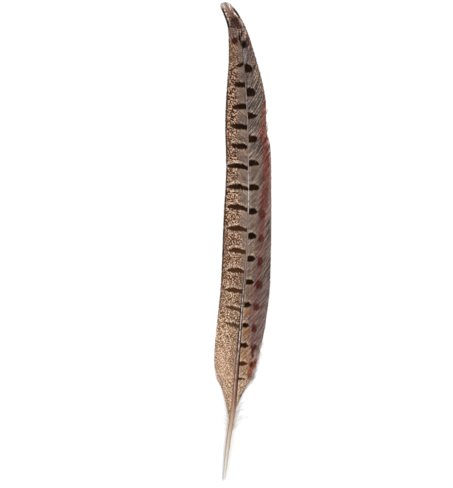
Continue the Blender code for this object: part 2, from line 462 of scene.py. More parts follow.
def vane_map(side, count, share):
    """Lays the barbs side by side in rows: the upper faces over most of the map, the undersides below."""
    rows = 3
    per_row = -(-count // rows)
    barb = np.arange(count)
    cell = (barb % per_row)[:, None, None, None]
    row = (barb // per_row)[:, None, None, None]
    over_one = np.array([[0, 0, 0.5, 0.5], [0.5, 0.5, 1, 1], [0, 0, 0.5, 0.5], [0.5, 0.5, 1, 1]])[None, None]
    upper = np.array([1, 1, 0, 0])[None, None, :, None]
    bottom = np.where(upper, 0.2 + row * 0.8 / rows, row * 0.19 / rows)
    height = np.where(upper, 0.79 / rows, 0.18 / rows)
    step = wall_steps(share)[None, :, None, :]
    across = np.broadcast_to((cell + over_one) / per_row, (count, STATIONS - 1, 4, 4))
    up = np.broadcast_to(bottom + height * step, across.shape)
    walls = np.stack([across, up], axis=-1).reshape(-1, 4, 2)
    corner_across = (barb % per_row)[:, None] + np.array([0.1, 0.5, 0.9, 0.5])
    corner_up = (0.2 + (barb // per_row) * 0.8 / rows)[:, None] + 0.001 * np.array([1, 2, 1, 0])
    root_ends = np.stack([corner_across / per_row, corner_up], axis=-1)
    tip_ends = root_ends[:, ::-1] + np.array([0, 0.79 / rows - 0.003])
    ends = np.concatenate([root_ends, tip_ends])[:, ::-1]
    corners = np.concatenate([walls, ends])
    return corners[:, ::-1] if side == LEFT else corners


def bar_numbers(side, off, along):
    """How many bars each point is from the first one, their spacing there, and half of a bar's thickness."""
    places = np.array(BARS[side])
    t = np.clip(off / smooth(BAR_LENGTH[side], along), 0, 1.2)
    way = np.clip(t, 0, 1)
    lift = smooth(BAR_RISE[side], way)
    straight = smooth(STRAIGHT_BARS, along)
    lift = lift + (STRAIGHT_RISE[side] * way - lift) * straight
    level = along - lift * smooth(BAR_TILT[side], along)
    number = np.interp(level, places, np.arange(len(places)))
    number += np.minimum(level - places[0], 0) / OUTER_SPACING
    number += np.maximum(level - places[-1], 0) / OUTER_SPACING
    spacing = np.interp(level, (places[1:] + places[:-1]) / 2, np.diff(places))
    form = smooth(BAR_FORM[side], way)
    blunt = (ramp(along, *BLUNT_BARS_ABOVE) + 0.7 * ramp(along, *BLUNT_BARS_BELOW)) * (1 - ramp(t, 0.2, 0.6))
    form = form + (BLUNT_FORM - form) * blunt
    form = form * (1 - smooth(BAR_POINT[side], along) * way)
    if side == LEFT:
        form = form + 0.4 * straight * ramp(way, 0.55, 0.9) * ramp(along, 160, 170)
    half = smooth(BAR_HALF[side], along) * form - 0.5 * ramp(t, 0.95, 1.1)
    low, high = places[0] - PAST_OUTER_BARS, places[-1] + PAST_OUTER_BARS
    half = half - 3 * (1 - ramp(along, low, low + 1.5) * ramp(along, high, high - 1.5))
    return number, spacing, half


def spot_distance(spots, across, along):
    """How far each point is from the nearest spot's middle, 1 at the spot's edge."""
    nearest = np.full(across.shape, FAR_FROM_SPOTS)
    for middle_across, middle_along, half_across, half_along in spots:
        reach = np.hypot((across - middle_across) / half_across, (along - middle_along) / half_along)
        nearest = np.minimum(nearest, reach)
    return nearest


def left_zones(off, along):
    """Shares of mottled pattern, of rufous tint and of pale foot in the left-hand vane."""
    inner = smooth(MOTTLED_FROM, along)
    mottled = ramp(off, inner - 2.0, inner + 1.4)
    rufous = ramp(off, 4.0, 8) * ramp(along, 150, 180) * ramp(along, 236, 225)
    foot = ramp(along, 150, 75)
    return mottled, rufous, foot


def right_zones(off, along):
    """Shares of wine-red band, of grey down and of buff foot in the right-hand vane."""
    inside = smooth(RIM[RIGHT], along) - smooth(SHAFT_ACROSS, along) - off
    start, end = smooth(WINE_FROM, along), smooth(WINE_TO, along)
    high_band = ramp(inside, start - 0.4, start + 0.4) * ramp(inside, end + 0.6, end - 0.6)
    low_band = ramp(off, 5.4, 6.4) * ramp(off, 9.4, 8.2) * ramp(along, 150, 138) * ramp(along, 66, 74)
    low_band = low_band * (0.5 + 0.35 * ramp(along, 118, 132))
    band = high_band * ramp(along, 208, 202) * ramp(along, 138, 146) + low_band
    down_from = smooth(DOWN_FROM, along)
    down = ramp(off, down_from, down_from + 1.4) * ramp(along, 148, 130)
    buff = ramp(along, 112, 82)
    return band, down, buff


# How bright the lamps make a white surface
LIGHT_LEVEL = 1.12


def seen(red, green, blue):
    """A colour as the eye sees it on the feather, 0 to 255, turned into what the surface reflects."""
    shown = np.array([red, green, blue]) / 255
    linear = np.where(shown <= 0.04045, shown / 12.92, ((shown + 0.055) / 1.055) ** 2.4)
    return (*(linear / LIGHT_LEVEL), 1.0)


# The ground colours and markings of the vanes, the down and the horn, with the painted light, shade and
# highlight on them
TAUPE_HIGH = seen(110, 91, 83)
TAUPE_LOW = seen(137, 116, 104)
TAUPE_WARM = seen(155, 131, 111)
OCHRE = seen(120, 79, 56)
OCHRE_GOLD = seen(130, 98, 73)
OCHRE_FOOT = seen(173, 134, 105)
OCHRE_PALE = seen(210, 172, 141)
RUFOUS = seen(112, 70, 48)
BUFF_FLECK = seen(224, 188, 160)
CREAM = seen(232, 202, 174)
CREAM_BRIGHT = seen(246, 222, 198)
SPECKLE = seen(44, 20, 10)
SPECKLE_FOOT = seen(88, 54, 32)
BAR_DARK = seen(28, 13, 4)
BAR_BROWN = seen(54, 28, 13)
BAR_RIM = seen(82, 50, 31)
BAR_FADED = seen(76, 44, 22)
BAR_PALE = seen(86, 54, 30)
GREY_TAUPE = seen(91, 83, 79)
GREY_WARM = seen(120, 103, 92)
LILAC = seen(115, 110, 109)
BUFF = seen(120, 92, 79)
BUFF_FOOT = seen(150, 114, 88)
ORANGE_BUFF = seen(149, 101, 67)
FOOT_PALE = seen(200, 168, 140)
MAUVE = seen(160, 130, 126)
WINE = seen(102, 56, 51)
WINE_HALO = seen(120, 92, 88)
RUST = seen(108, 70, 56)
RED_SPOT = seen(72, 26, 20)
MAROON = seen(58, 14, 4)
RIM_MAROON = seen(104, 52, 48)
CHESTNUT = seen(138, 76, 53)
CHESTNUT_DARK = seen(74, 30, 16)
DOWN_GREY = seen(84, 67, 60)
DOWN_PALE = seen(120, 100, 92)
DOWN_BLUE_GREY = seen(98, 78, 71)
DOWN_BLUE_PALE = seen(130, 109, 102)
DOWN_LAVENDER = seen(176, 156, 150)
RIM_PALE = seen(124, 94, 84)
TIP_BROWN = seen(146, 107, 88)
TIP_PINK = seen(122, 95, 84)
TIP_DARK = seen(60, 32, 24)
TIP_EDGE = seen(24, 16, 10)
TIP_PALE = seen(184, 170, 160)
TIP_WHITE = seen(232, 222, 214)
TIP_BLUSH = seen(200, 160, 152)
UNDERSIDE = seen(150, 134, 124)
# Painted light beside the raised shaft
PAINTED_LIGHT_BY_SHAFT = seen(160, 143, 136)
DOWN = seen(240, 232, 224)
DOWN_SHADE = seen(176, 160, 150)
# The horn's dark edges, partly painted shade, its dark brown, and the pale of its painted highlight
HORN_EDGE_AND_SHADE = seen(30, 16, 10)
HORN_DARK = seen(84, 54, 40)
HORN_PAINTED_HIGHLIGHT = seen(236, 226, 222)

# The shaft's own colour at places along it
SHAFT_TONES = (
    (0, (244, 240, 234)), (17.5, (220, 203, 180)), (31.25, (194, 160, 135)), (45, (160, 117, 98)),
    (57.5, (150, 108, 90)), (75, (128, 96, 84)), (97.5, (128, 103, 92)), (112.5, (150, 126, 114)),
    (132.5, (148, 126, 116)), (145, (138, 120, 109)), (155, (142, 126, 114)), (165, (124, 108, 98)),
    (190, (122, 105, 95)), (205, (118, 102, 94)), (220, (104, 88, 80)), (225, (70, 54, 46)),
    (231.25, (60, 46, 38)), (235, (100, 76, 62)), (237.5, (64, 40, 30)), (243.75, (60, 36, 28)),
    (247.5, (112, 86, 72)), (250, (150, 130, 118)),
)


class Value:
    """A number or a colour that a node puts out. Sums, differences and products of values are nodes too."""

    def __init__(self, socket):
        self.socket = socket

    def __add__(self, other):
        return calculate("ADD", self, other)

    def __sub__(self, other):
        return calculate("SUBTRACT", self, other)

    def __rsub__(self, other):
        return calculate("SUBTRACT", other, self)

    def __mul__(self, other):
        return calculate("MULTIPLY", self, other)

    def __abs__(self):
        return calculate("ABSOLUTE", self)

    __radd__ = __add__


def feed(socket, value):
    """Gives an input its value: another node's output, or else a plain number or colour."""
    if isinstance(value, Value):
        socket.id_data.links.new(value.socket, socket)
    else:
        socket.default_value = value


def add(tree, kind, inputs=(), **settings):
    """Adds a node to a tree, with what is fed to its inputs as pairs of name or number and value."""
    node = tree.nodes.new(kind)
    for name, setting in settings.items():
        setattr(node, name, setting)
    for name, value in dict(inputs).items():
        feed(node.inputs[name], value)
    return node


def worked_out(kind, inputs, output=0, **settings):
    """What a new node puts out. It goes into the tree that its values come from."""
    inputs = dict(inputs)
    tree = next(value.socket.id_data for value in inputs.values() if isinstance(value, Value))
    return Value(add(tree, kind, inputs, **settings).outputs[output])


def calculate(operation, *values, clamp=False):
    return worked_out("ShaderNodeMath", enumerate(values), operation=operation, use_clamp=clamp)


def point(x, y, z=0.0):
    return worked_out("ShaderNodeCombineXYZ", enumerate((x, y, z)))


def rise(value, low, high, bottom=0.0, top=1.0):
    """Bottom where the value is low, top where it is high, and a smooth rise between."""
    inputs = enumerate((value, low, high, bottom, top))
    return worked_out("ShaderNodeMapRange", inputs, interpolation_type="SMOOTHSTEP")


def within(value, low, full_from, full_to, high):
    """1 between the two middle places, 0 outside the outer two, and smooth between."""
    return rise(value, low, full_from) * rise(value, high, full_to)


def blend(share, under, over):
    inputs = ((0, share), (6, under), (7, over))
    return worked_out("ShaderNodeMix", inputs, output=2, data_type="RGBA")


def layered(colour, *coats):
    """A colour with coats over it, each given as its share and its own colour."""
    for share, coat in coats:
        colour = blend(share, colour, coat)
    return colour


def noise(where, scale, detail=2.0, roughness=0.5, distortion=0.0):
    return worked_out("ShaderNodeTexNoise", {
        "Vector": where, "Scale": scale, "Detail": detail, "Roughness": roughness, "Distortion": distortion,
    })


def read(tree, name):
    """The three numbers that a piece keeps for each of its points."""
    found = Value(add(tree, "ShaderNodeAttribute", attribute_name=name).outputs["Vector"])
    return [Value(part) for part in add(tree, "ShaderNodeSeparateXYZ", enumerate([found])).outputs]


def new_group(name, inputs, outputs):
    """An empty shader node group. Its sockets named Colour carry colours, and the others carry numbers.

    It gives the group, the values of its inputs by name, and its outputs, to be fed.
    """
    tree = bpy.data.node_groups.new(name, "ShaderNodeTree")
    for direction, labels in (("INPUT", inputs), ("OUTPUT", outputs)):
        for label in labels:
            kind = "NodeSocketColor" if label == "Colour" else "NodeSocketFloat"
            tree.interface.new_socket(label, in_out=direction, socket_type=kind)
    given = {socket.name: Value(socket) for socket in add(tree, "NodeGroupInput").outputs}
    return tree, given, add(tree, "NodeGroupOutput").inputs


def place_group(tree, group, **values):
    """Puts a group into a material. Values are named as its inputs are, with _ for a space."""
    inputs = {name.replace("_", " "): value for name, value in values.items()}
    return [Value(socket) for socket in add(tree, "ShaderNodeGroup", node_tree=group, inputs=inputs).outputs]


def cross_bars():
    """Where a bar crosses the barbs, each a little out of step with the next, and what lies around it."""
    group, given, made = new_group(
        "cross bars",
        ("Number", "Spacing", "Half", "Root", "Reach", "Chance", "Jag"),
        ("Bar", "Rim", "Edge", "Ahead", "Behind"),
    )
    turn = calculate("FRACT", given["Number"] + 0.5)
    past = (turn - 0.5) * given["Spacing"]
    step = (given["Chance"] - 0.5) * given["Jag"]
    where = point(given["Root"] * 1.6, given["Reach"] * 0.8)
    teeth = (noise(where, 0.7) - 0.5) * given["Jag"] * 2.6
    past = past + step + teeth
    outside = abs(past) - given["Half"]
    feed(made["Bar"], rise(outside, 0.1, -0.16))
    feed(made["Rim"], rise(outside, 0.4, 0.0))
    near = within(outside, 0.15, 0.45, 0.9, 1.8)
    near = near * rise(past, -0.5, 0.5, 0.4, 1.0) * rise(given["Half"], -0.1, 0.5)
    feed(made["Edge"], near)
    feed(made["Ahead"], within(past, 1.6, 2.8, 4.0, 6.0))
    feed(made["Behind"], within(past, -5.6, -4.0, -1.8, -0.6))
    return group


def mottling():
    """Worm-like dark and pale marks across the vane, a little out of step from barb to barb."""
    group, given, made = new_group("mottling", ("Off", "Along", "Chance", "Scale"), ("Dark", "Pale"))
    step = given["Chance"] * 0.2
    where = point(given["Off"] + step, given["Along"] + step, 3.7)
    marks = noise(where, given["Scale"], detail=1.5, roughness=0.6, distortion=0.4)
    feed(made["Dark"], rise(marks, 0.498, 0.465))
    feed(made["Pale"], rise(marks, 0.542, 0.575))
    return group


def barb_surface():
    """Streaks along the barbs and flecks on them, a paler underside, and the fine grain of the horn."""
    group, given, made = new_group(
        "barb surface",
        ("Colour", "Root", "Reach", "Chance", "Strength", "Underneath"),
        ("Colour", "Roughness", "Height"),
    )
    root, reach = given["Root"], given["Reach"]
    wide = point(root * 0.8, reach * 0.1)
    fine = point(root * 1.8, reach * 0.14, 5.0)
    flecks = point(root * 1.4, reach * 1.2, 8.0)
    total = (given["Chance"] - 0.5) * 0.6
    for where, detail, share in ((wide, 1.0, 0.35), (fine, 0.0, 1.5), (flecks, 1.5, 1.0)):
        marks = rise(noise(where, 1.0, detail), 0.35, 0.65) - 0.5
        total = total + marks * share
    tone = calculate("EXPONENT", total * given["Strength"])
    below = rise(given["Underneath"], 0.02, 0.5) * 0.6
    inputs = ((0, blend(below, given["Colour"], UNDERSIDE)), ("Scale", tone))
    feed(made["Colour"], worked_out("ShaderNodeVectorMath", inputs, operation="SCALE"))
    grain = noise(point(root, reach), 9.0, detail=1.0)
    feed(made["Roughness"], rise(grain, 0.3, 0.7, 0.55, 0.75))
    feed(made["Height"], grain)
    return group


def blot():
    """A spot with an uneven edge, from how far each point is from its middle."""
    group, given, made = new_group("blot", ("Distance", "Root", "Reach", "Chance", "Softness"), ("Blot",))
    uneven = noise(point(given["Root"], given["Reach"]), 0.8, detail=1.5)
    uneven = (uneven - 0.5) * 1.1
    own = (given["Chance"] - 0.5) * 0.25
    distance = given["Distance"] + uneven + own
    inner = 1.0 - given["Softness"]
    feed(made["Blot"], rise(distance, 1.0 + given["Softness"], inner))
    return group


def tip_colours():
    """The tip: brown with flecks and a smudge, near-black edges, a pale line inside them, and a pale top."""
    group, given, made = new_group(
        "tip colours",
        ("Colour", "Along", "Inside", "Smudge", "Dark", "Specks", "Flecks", "Edge From", "Edge Full"),
        ("Colour",),
    )
    along, inside = given["Along"], given["Inside"]
    high = rise(along, 228, 234)
    below_top = rise(along, given["Edge From"], given["Edge Full"]) * rise(along, 249.0, 247.6)
    line = within(inside, 1.3, 1.6, 2.0, 2.4) * rise(along, 237, 241)
    line = line * rise(given["Specks"], 0.0, 1.0, 0.9, 0.0)
    colour = layered(
        given["Colour"],
        (rise(along, 238, 242), TIP_BROWN),
        (given["Specks"] * high * 0.45, TIP_DARK),
        (given["Flecks"] * high * 0.42, TIP_PALE),
        (given["Smudge"] * rise(given["Flecks"], 0.0, 1.0, 0.95, 0.7), TIP_DARK),
        (given["Dark"], TIP_EDGE),
        (line * below_top, blend(given["Flecks"], TIP_PALE, TIP_WHITE)),
        (rise(inside, 1.45, 1.0) * below_top * 0.95, TIP_EDGE),
        (rise(along, 246.8, 249.4), TIP_PALE),
    )
    feed(made["Colour"], colour)
    return group


# Effects that both vanes share
GROUPS = {
    "bars": cross_bars(), "mottling": mottling(), "surface": barb_surface(), "blot": blot(),
    "tip": tip_colours(),
}


def new_material(name):
    """A material, its empty tree and its output node."""
    material = bpy.data.materials.new(name)
    material.use_nodes = True
    tree = material.node_tree
    tree.nodes.clear()
    return material, tree, add(tree, "ShaderNodeOutputMaterial")


def principled(tree, output, colour, roughness, **others):
    """The material's surface. Its other inputs are named with _ for a space."""
    inputs = {"Base Color": colour, "Roughness": roughness}
    inputs.update({name.replace("_", " "): value for name, value in others.items()})
    surface = add(tree, "ShaderNodeBsdfPrincipled", inputs)
    feed(output.inputs["Surface"], Value(surface.outputs[0]))


def bumps(height, strength, distance):
    """The surface's direction over bumps. Distance is how high they are, in metres."""
    inputs = (("Height", height), ("Strength", strength), ("Distance", distance))
    return worked_out("ShaderNodeBump", inputs)


def barb_finish(tree, output, colour, strength, underneath, barb):
    """Soft dull horn, with the colour and the grain that the barbs' surface gives it."""
    colour, roughness, grain = place_group(
        tree, GROUPS["surface"], Colour=colour, Strength=strength, Underneath=underneath, **barb
    )
    normal = bumps(grain, 0.25, 0.00004)
    principled(tree, output, colour, roughness, Specular_IOR_Level=0.04, Normal=normal)


def vane_readings(tree, jag):
    """What both vanes' materials share: places on the vane and on its barb, the bars and the flecks.

    Jag is how far a bar's edge moves from one barb to the next.
    """
    off, along, underneath = read(tree, "on_vane")
    root, reach, chance = read(tree, "on_barb")
    number, spacing, half = read(tree, "bars")
    barb = {"Root": root, "Reach": reach, "Chance": chance}
    bars = place_group(tree, GROUPS["bars"], Number=number, Spacing=spacing, Half=half, Jag=jag, **barb)
    flecks = place_group(tree, GROUPS["mottling"], Off=off, Along=along, Chance=chance, Scale=1.7)
    return off, along, underneath, barb, bars, flecks


def blots(tree, barb):
    """Where the dark spots, the red spots and the smudges lie."""
    softness = (0.2, 0.3, 0.5)
    return [
        place_group(tree, GROUPS["blot"], Distance=distance, Softness=soft, **barb)[0]
        for distance, soft in zip(read(tree, "marks"), softness)
    ]


def left_vane_finish():
    """Taupe with long black-brown bars beside the shaft, and buff and rufous mottling outside."""
    material, tree, output = new_material("left barbs")
    off, along, underneath, barb, bars, (dark, light) = vane_readings(tree, jag=0.7)
    bar, rim, edge, ahead, behind = bars
    mottled, rufous, foot = read(tree, "zones")
    inside, bar_share = read(tree, "rims")[1:]
    dark_spot, red_spot, smudge = blots(tree, barb)

    inner = layered(
        blend(rise(along, 170, 118), TAUPE_HIGH, TAUPE_LOW),
        (behind * 0.45, TAUPE_WARM),
        (dark * rise(along, 225, 150, 0.13, 0.22), BAR_RIM),
        (light * 0.14, CREAM),
    )

    haze = rise(off, 8.0, 3.0, 0.22, 0.6) * rise(along, 72, 84, 0.5, 1.0)
    full = rise(along, 228, 211, 0.4, 1.0)
    low = rise(along, 78, 58)
    by_rim = rise(inside, 4.2, 1.6) * rise(along, 82, 96) * rise(along, 150, 125, 0.0, 0.35)
    outer = layered(
        blend(foot, OCHRE, OCHRE_FOOT),
        (rufous * 0.4, RUFOUS),
        (rise(along, 212, 221), OCHRE_GOLD),
        (rise(along, 94, 66), OCHRE_PALE),
        (ahead * foot * haze, SPECKLE_FOOT),
        (dark * full * rise(low, 0.0, 1.0, 0.92, 0.62), blend(foot, SPECKLE, SPECKLE_FOOT)),
        (light * full * rise(low, 0.0, 1.0, 1.0, 0.95), blend(foot, BUFF_FLECK, CREAM)),
        (by_rim, SPECKLE_FOOT),
    )

    beside = rise(off, 6.2, 2.0) * rise(along, 52, 62) * rise(along, 140, 94, 0.0, 0.4)
    # Painted light: a paler strip beside the shaft, lifting the shade where the vane meets the raised shaft
    strip = rise(off, 1.6, 0.9) * within(along, 88, 100, 158, 176)
    dark_rim = rise(inside, 1.35, 0.75) * rise(along, 82, 120, 0.0, 0.9) * rise(along, 214, 198, 0.6, 1.0)
    pale_edge = edge * rise(light, 0.0, 1.0, 0.3, 0.95) * rise(bar_share, 0.0, 0.5, 0.4, 1.0)
    bar_colour = layered(
        blend(rise(bar_share, 0.35, 1.0), BAR_DARK, BAR_BROWN),
        (rise(along, 165, 105), BAR_FADED),
        (rise(along, 104, 88), BAR_PALE),
    )
    colour = layered(
        blend(mottled, inner, outer),
        (beside, SPECKLE_FOOT),
        (strip * 0.35, PAINTED_LIGHT_BY_SHAFT),
        (dark_rim, BAR_BROWN),
        (pale_edge * rise(along, 195, 165, 0.15, 1.0), CREAM_BRIGHT),
        (rim * 0.8, BAR_RIM),
        (bar * rise(along, 74, 88, 0.5, 1.0), bar_colour),
        (rise(along, 228, 234, 0.0, 0.85), TIP_PINK),
    )
    colour = place_group(
        tree, GROUPS["tip"], Colour=colour, Along=along, Inside=inside, Smudge=smudge, Dark=dark_spot,
        Specks=dark, Flecks=light, Edge_From=236.5, Edge_Full=238.5,
    )[0]
    colour = blend(red_spot * 0.95, colour, MAROON)
    strength = rise(along, 222, 232, 0.32, 0.6)
    barb_finish(tree, output, colour, strength, underneath, barb)
    return material


def right_vane_finish():
    """Taupe with short thick bars beside the shaft, a wine-red band outside, and grey down low on the rim."""
    material, tree, output = new_material("right barbs")
    off, along, underneath, barb, bars, (dark, light) = vane_readings(tree, jag=0.6)
    bar, rim, edge, _, behind = bars
    band, down, buff = read(tree, "zones")
    to_end, inside = read(tree, "rims")[:2]
    dark_spot, red_spot, smudge = blots(tree, barb)

    high_rim = rise(inside, 5.5, 1.6) * rise(along, 196, 214)
    to_tip = rise(along, 215, 225)
    plain = layered(
        blend(rise(along, 200, 130), GREY_TAUPE, GREY_WARM),
        (rise(off, 2.6, 2.1) * rise(along, 214, 218) * 0.85, LILAC),
        (dark * rise(high_rim, 0.0, 1.0, 0.24, 0.6), blend(to_tip, RUFOUS, RIM_MAROON)),
        (light * rise(high_rim, 0.0, 1.0, 0.1, 0.34), blend(to_tip, CREAM, TIP_BLUSH)),
    )

    patch = behind * within(off, 0.9, 2.0, 4.2, 5.4) * rise(along, 66, 76, 0.15, 0.75)
    foot = layered(
        blend(rise(along, 80, 66), BUFF, BUFF_FOOT),
        (dark * 0.25, SPECKLE_FOOT),
        (light * 0.22, CREAM),
        (patch, ORANGE_BUFF),
        (rise(off, 4.8, 5.8) * rise(along, 62, 70) * 0.6, MAUVE),
        (rise(off, 1.9, 1.3) * 0.5, FOOT_PALE),
    )

    # A darker grey stripe inside the band: partly a darker tone, partly painted shade where the vane's slope
    # catches the key light
    off_shade_stripe = abs(off - rise(along, 120, 160, 4.9, 6.9))
    shade_stripe = rise(off_shade_stripe, 1.8, 0.4) * within(along, 74, 82, 183, 189)
    halo = within(off, 4.6, 6.2, 9.6, 12.0) * within(along, 66, 74, 144, 154)
    marbled = noise(point(barb["Root"] * 0.9, barb["Reach"], 5.0), 0.6, detail=1.5)
    pale_rim = rise(to_end, 2.8, 1.0) * within(along, 130, 145, 180, 188)
    colour = layered(
        blend(buff, plain, foot),
        (shade_stripe * 0.4, DOWN_GREY),
        (halo * 0.55, WINE_HALO),
        (band * rise(marbled, 0.38, 0.58, 0.65, 1.0), blend(rise(along, 181, 188), WINE, RUST)),
        (pale_rim, RIM_PALE),
    )

    strands = rise(noise(point(barb["Root"], barb["Reach"] * 0.15), 1.0), 0.4, 0.62)
    grey = layered(
        blend(strands, DOWN_GREY, DOWN_PALE),
        (rise(along, 104, 86), blend(strands, DOWN_BLUE_GREY, DOWN_BLUE_PALE)),
        (rise(along, 70, 60, 0.0, 0.85), DOWN_LAVENDER),
    )
    frayed = (strands - 0.5) * 0.7
    out = along * -0.16 + off + frayed
    rust = rise(off + frayed, 5.4, 6.4) * rise(out, 0.8, 0.0)
    rust = rust * rise(along - off, 55.2, 53.2) * rise(along, 51.5, 54)
    chestnut = blend(rise(strands, 0.3, 0.9, 0.0, 0.5), CHESTNUT, CHESTNUT_DARK)
    base = layered(
        blend(dark * 0.8, FOOT_PALE, SPECKLE_FOOT),
        (light * 0.9, CREAM),
        (rise(off, 2.4, 1.5, 0.0, 0.6), CREAM),
    )
    loose_edge = rise(inside, 1.5, 1.0) * within(along, 42, 46, 53, 57)
    # Painted light: a paler strip beside the shaft, lifting the shade where the vane meets the raised shaft
    strip = rise(off, 1.7, 1.0) * within(along, 88, 100, 158, 176)
    start = rise(along, 146, 92, 0.0, 0.9) * rise(along, 72, 86, 0.5, 1.0)
    started = rise(off - start, 0.0, 0.4)
    colour = layered(
        colour,
        (down, grey),
        (rust, chestnut),
        (rise(along, 61, 51) * rise(rust, 1.0, 0.0), base),
        (loose_edge * 0.6, SPECKLE_FOOT),
        (rise(barb["Root"], 32.0, 31.0), DOWN),
        (strip * 0.35, PAINTED_LIGHT_BY_SHAFT),
        (edge * rise(along, 170, 110, 0.08, 0.3), CREAM),
        (rim * started * 0.8, BAR_RIM),
        (bar * started, blend(rise(along, 75, 56), BAR_DARK, BAR_FADED)),
        (rise(along, 224, 232, 0.0, 0.85), TIP_PINK),
    )
    colour = place_group(
        tree, GROUPS["tip"], Colour=colour, Along=along, Inside=inside, Smudge=smudge, Dark=dark_spot,
        Specks=dark, Flecks=light, Edge_From=241, Edge_Full=244.5,
    )[0]
    pale_line = within(inside, 0.7, 1.0, 1.5, 2.1)
    pale_line = pale_line * within(along, 233, 236, 241, 243)
    red_share = red_spot * rise(along, 150, 100, 0.75, 0.97) * rise(light, 0.0, 1.0, 1.0, 0.8)
    colour = layered(
        colour,
        (pale_line * 0.35, TIP_PALE),
        (red_share * rise(dark_spot, 1.0, 0.0), blend(rise(along, 190, 215), RED_SPOT, MAROON)),
    )
    strength = rise(along, 162, 172, 0.6, 1.0) * rise(along, 50, 64, 0.5, 1.0)
    strength = strength * rise(patch, 0.0, 0.75, 1.0, 0.6)
    barb_finish(tree, output, colour, strength, underneath, barb)
    return material


def foot_hairs(rng, count):
    """Loose hairs at the foot of the vanes: the side, start, root, length, heading and height of each."""
    side = np.where(np.arange(count) % 5 < 3, RIGHT, LEFT)[:, None]
    root = rng.uniform(25.0, 44.0, (count, 1))
    length = rng.uniform(3.5, 9.0, (count, 1)) + 4 * (rng.uniform(0, 1, (count, 1)) > 0.85) * (side == RIGHT)
    heading = np.radians(rng.uniform(12, 50, (count, 1)))
    start = smooth(SHAFT_ACROSS, root) + side * 0.75 * smooth(SHAFT_HALF_WIDTH, root)
    height = shaft_height(root) + rng.uniform(-0.4, 0.3, (count, 1))
    return side, start, root, length, heading, height


def rim_hairs(rng, count):
    """Loose hairs that fringe the lowest part of the right-hand rim."""
    side = np.full((count, 1), RIGHT)
    root = rng.uniform(50.0, 70.0, (count, 1))
    start = smooth(RIM[RIGHT], root) - rng.uniform(0.0, 1.0, (count, 1))
    length = rng.uniform(2.5, 5.0, (count, 1))
    heading = np.radians(rng.uniform(18, 40, (count, 1)))
    height = np.full((count, 1), RIM_HAIR_HEIGHT)
    return side, start, root, length, heading, height


def hairs(name):
    """Loose hair-fine barbs around the foot of the vanes and low on the right-hand rim."""
    rng = np.random.default_rng(SEED * 13)
    groups = zip(foot_hairs(rng, FOOT_HAIRS), rim_hairs(rng, RIM_HAIRS))
    side, start, root, length, heading, height = [np.concatenate(pair) for pair in groups]
    count = len(root)
    share = np.linspace(0, 1, HAIR_STATIONS)[None, :]
    curl = np.radians(rng.normal(6, 42, (count, 1))) * np.minimum(1, length / 6)
    wave = rng.uniform(0, 2 * np.pi, (count, 1))
    direction = heading + curl * share + 0.45 * np.sin(2 * np.pi * 1.5 * share + wave) * share
    step = length / (HAIR_STATIONS - 1)
    across = np.cumsum(np.sin(direction) * step, axis=1) * side
    along = np.cumsum(np.cos(direction) * step, axis=1)
    end_height = rng.uniform(*HAIR_END_HEIGHT, (count, 1))
    height = end_height + (height - end_height) * (1 - share) ** 1.6
    line = np.stack([start + across - across[:, :1], root + along - along[:, :1], height], axis=-1)
    sideways = directions(np.gradient(line, axis=1))[1]
    radius = rng.uniform(*HAIR_RADIUS, (count, 1)) * (1 - 0.75 * share**1.5)
    turn = np.arange(HAIR_SIDES) * 2 * np.pi / HAIR_SIDES
    around = np.cos(turn)[:, None] * sideways[:, :, None] + np.sin(turn)[:, None] * np.array([0, 0, 1])
    rings = line[:, :, None] + radius[..., None, None] * around
    rings[..., 2] = np.maximum(rings[..., 2], LOWEST_HAIR)
    walls = tube_faces(count, HAIR_STATIONS, HAIR_SIDES).reshape(-1, 4)[:, ::-1]
    ends = end_faces(count, HAIR_STATIONS, HAIR_SIDES)
    piece = new_mesh(name, rings, walls.tolist() + ends.tolist(), down_map(count, share[0]))
    chance = rng.uniform(0, 1, (count, 1, 1))
    store(piece, "on_barb", rings.shape[:3], chance, share[..., None], length[..., None])
    piece.data.materials.append(down_finish())


def down_map(count, share):
    """Lays the hairs side by side, each opened flat, with its end faces small at both ends of its strip."""
    hair = np.arange(count)[:, None, None, None]
    corner = np.arange(HAIR_SIDES)[:, None] + np.array([0, 0, 1, 1])
    up = wall_steps(share)[None, :, None]
    across = (hair + corner / HAIR_SIDES) / count
    walls = np.stack(np.broadcast_arrays(across, up), axis=-1)[..., ::-1, :].reshape(-1, 2)
    small = np.array([(0.2, 0.0), (0.8, 0.0), (0.5, 0.004)])
    foot = np.stack([(hair[:, 0, 0] + small[:, 0]) / count, small[:, 1] + 0 * hair[:, 0, 0]], axis=-1)
    head = foot[:, ::-1] + np.array([0, 0.99])
    return np.concatenate([walls, foot.reshape(-1, 2), head.reshape(-1, 2)])


def down_finish():
    """Cream to grey hairs, a little darker where they leave the shaft."""
    material, tree, output = new_material("down")
    chance, way, length = read(tree, "on_barb")
    colour = blend(rise(chance, 0.2, 1.0), DOWN, DOWN_SHADE)
    colour = blend(rise(way, 0.3, 0.0), colour, OCHRE_FOOT)
    fine = noise(point(chance, way * length), 4.0)
    principled(tree, output, colour, rise(fine, 0.3, 0.7, 0.6, 0.85), Specular_IOR_Level=0.2)
    return material


